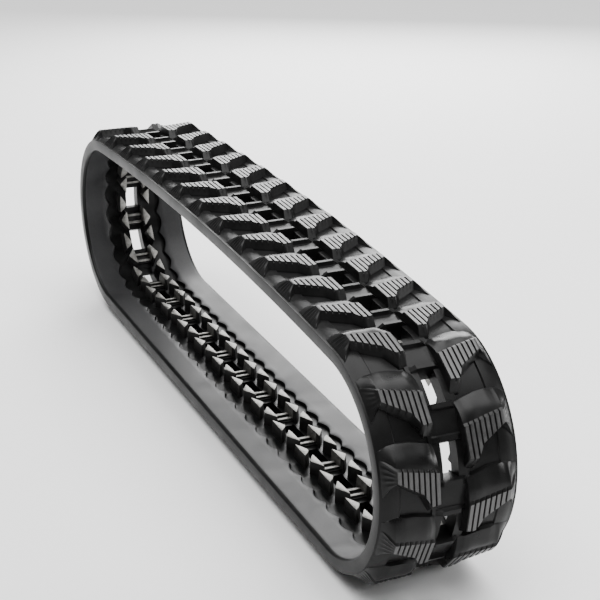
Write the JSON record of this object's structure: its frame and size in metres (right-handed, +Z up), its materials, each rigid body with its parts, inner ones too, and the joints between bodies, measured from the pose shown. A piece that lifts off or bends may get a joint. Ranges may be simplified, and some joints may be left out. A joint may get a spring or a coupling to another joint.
{
  "type": "rubber track",
  "caption": "Endless rubber crawler track with steel cores, twin guide horns, a row of sprocket windows and staggered slanted tread lugs, standing as a free loop on its ground run.",
  "frame": {"origin": "on the ground under the middle of the track's box", "axes": "+X along the runs to the near end, +Y across the track, +Z up from the ground run to the top run"},
  "size_m": [1.5772, 0.23, 0.4303],
  "materials": {
    "carcass_rubber": "moulded, semi-gloss",
    "tread_rubber": "moulded, ribbed, scuffed",
    "core_steel": "forged, bare",
    "cord_steel": "stranded, brass plated",
    "guard_fabric": "rubberised woven ply"
  },
  "bodies": {
    "bottom_run": {"bottom_run_cores": "core_steel", "bottom_run_guard_ply": "guard_fabric", "bottom_run_left_cords": "cord_steel", "bottom_run_left_lugs": "tread_rubber", "bottom_run_right_cords": "cord_steel", "bottom_run_right_lugs": "tread_rubber", "bottom_run_rubber": "carcass_rubber"},
    "near_link_1": {"near_link_1_core": "core_steel", "near_link_1_left_lug": "tread_rubber", "near_link_1_plies": "cord_steel", "near_link_1_right_lug": "tread_rubber", "near_link_1_rubber": "carcass_rubber"},
    "near_link_2": {"near_link_2_core": "core_steel", "near_link_2_left_lug": "tread_rubber", "near_link_2_plies": "cord_steel", "near_link_2_right_lug": "tread_rubber", "near_link_2_rubber": "carcass_rubber"},
    "near_link_3": {"near_link_3_core": "core_steel", "near_link_3_left_lug": "tread_rubber", "near_link_3_plies": "cord_steel", "near_link_3_right_lug": "tread_rubber", "near_link_3_rubber": "carcass_rubber"},
    "near_link_4": {"near_link_4_core": "core_steel", "near_link_4_left_lug": "tread_rubber", "near_link_4_plies": "cord_steel", "near_link_4_right_lug": "tread_rubber", "near_link_4_rubber": "carcass_rubber"},
    "near_link_5": {"near_link_5_core": "core_steel", "near_link_5_left_lug": "tread_rubber", "near_link_5_plies": "cord_steel", "near_link_5_right_lug": "tread_rubber", "near_link_5_rubber": "carcass_rubber"},
    "top_run": {"top_run_cores": "core_steel", "top_run_guard_ply": "guard_fabric", "top_run_left_cords": "cord_steel", "top_run_left_lugs": "tread_rubber", "top_run_right_cords": "cord_steel", "top_run_right_lugs": "tread_rubber", "top_run_rubber": "carcass_rubber"},
    "far_link_1": {"far_link_1_core": "core_steel", "far_link_1_left_lug": "tread_rubber", "far_link_1_plies": "cord_steel", "far_link_1_right_lug": "tread_rubber", "far_link_1_rubber": "carcass_rubber"},
    "far_link_2": {"far_link_2_core": "core_steel", "far_link_2_left_lug": "tread_rubber", "far_link_2_plies": "cord_steel", "far_link_2_right_lug": "tread_rubber", "far_link_2_rubber": "carcass_rubber"},
    "far_link_3": {"far_link_3_core": "core_steel", "far_link_3_left_lug": "tread_rubber", "far_link_3_plies": "cord_steel", "far_link_3_right_lug": "tread_rubber", "far_link_3_rubber": "carcass_rubber"},
    "far_link_4": {"far_link_4_core": "core_steel", "far_link_4_left_lug": "tread_rubber", "far_link_4_plies": "cord_steel", "far_link_4_right_lug": "tread_rubber", "far_link_4_rubber": "carcass_rubber"}
  },
  "joints": [
    {"name": "near_hinge_1", "type": "hinge", "parent": "bottom_run", "child": "near_link_1", "pos_m": [0.59748, 0, 0.02977], "axis": [0, -1, 0], "range_deg": [-5, 4.5], "stiffness_Nm_per_rad": 150, "springref_deg": 2.46},
    {"name": "near_hinge_2", "type": "hinge", "parent": "near_link_1", "child": "near_link_2", "pos_m": [0.69232, 0, 0.06864], "axis": [0, -1, 0], "range_deg": [-7, 7], "stiffness_Nm_per_rad": 150},
    {"name": "near_hinge_3", "type": "hinge", "parent": "near_link_2", "child": "near_link_3", "pos_m": [0.74942, 0, 0.15375], "axis": [0, -1, 0], "range_deg": [-4.5, 5], "stiffness_Nm_per_rad": 150, "springref_deg": -2.46},
    {"name": "near_hinge_4", "type": "hinge", "parent": "near_link_3", "child": "near_link_4", "pos_m": [0.74942, 0, 0.25625], "axis": [0, -1, 0], "range_deg": [-4.5, 5], "stiffness_Nm_per_rad": 150, "springref_deg": -2.46},
    {"name": "near_hinge_5", "type": "hinge", "parent": "near_link_4", "child": "near_link_5", "pos_m": [0.69232, 0, 0.34136], "axis": [0, -1, 0], "range_deg": [-7, 7], "stiffness_Nm_per_rad": 150},
    {"name": "near_hinge_6", "type": "hinge", "parent": "near_link_5", "child": "top_run", "pos_m": [0.59748, 0, 0.38023], "axis": [0, -1, 0], "range_deg": [-5, 4.5], "stiffness_Nm_per_rad": 150, "springref_deg": 2.46},
    {"name": "far_hinge_1", "type": "hinge", "parent": "bottom_run", "child": "far_link_1", "pos_m": [-0.64878, 0, 0.04215], "axis": [0, -1, 0], "range_deg": [-6.3, 7], "stiffness_Nm_per_rad": 150, "springref_deg": -3.43},
    {"name": "far_hinge_2", "type": "hinge", "parent": "far_link_1", "child": "far_link_2", "pos_m": [-0.72819, 0, 0.10695], "axis": [0, -1, 0], "range_deg": [-9.8, 9.8], "stiffness_Nm_per_rad": 150},
    {"name": "far_hinge_3", "type": "hinge", "parent": "far_link_2", "child": "far_link_3", "pos_m": [-0.75804, 0, 0.205], "axis": [0, -1, 0], "range_deg": [-14, 12.6], "stiffness_Nm_per_rad": 150, "springref_deg": 6.85},
    {"name": "far_hinge_4", "type": "hinge", "parent": "far_link_3", "child": "far_link_4", "pos_m": [-0.72819, 0, 0.30305], "axis": [0, -1, 0], "range_deg": [-9.8, 9.8], "stiffness_Nm_per_rad": 150}
  ],
  "couplings": [
    {"joint": "near_hinge_3", "follows": "near_hinge_1", "ratio": -1},
    {"joint": "near_hinge_4", "follows": "near_hinge_1", "ratio": -1},
    {"joint": "near_hinge_6", "follows": "near_hinge_1", "ratio": 1},
    {"joint": "far_hinge_1", "follows": "near_hinge_1", "ratio": -1.3907},
    {"joint": "far_hinge_3", "follows": "near_hinge_1", "ratio": 2.7814},
    {"joint": "near_hinge_5", "follows": "near_hinge_2", "ratio": -1},
    {"joint": "far_hinge_2", "follows": "near_hinge_2", "ratio": 1.3907},
    {"joint": "far_hinge_4", "follows": "near_hinge_2", "ratio": -1.3907}
  ]
}
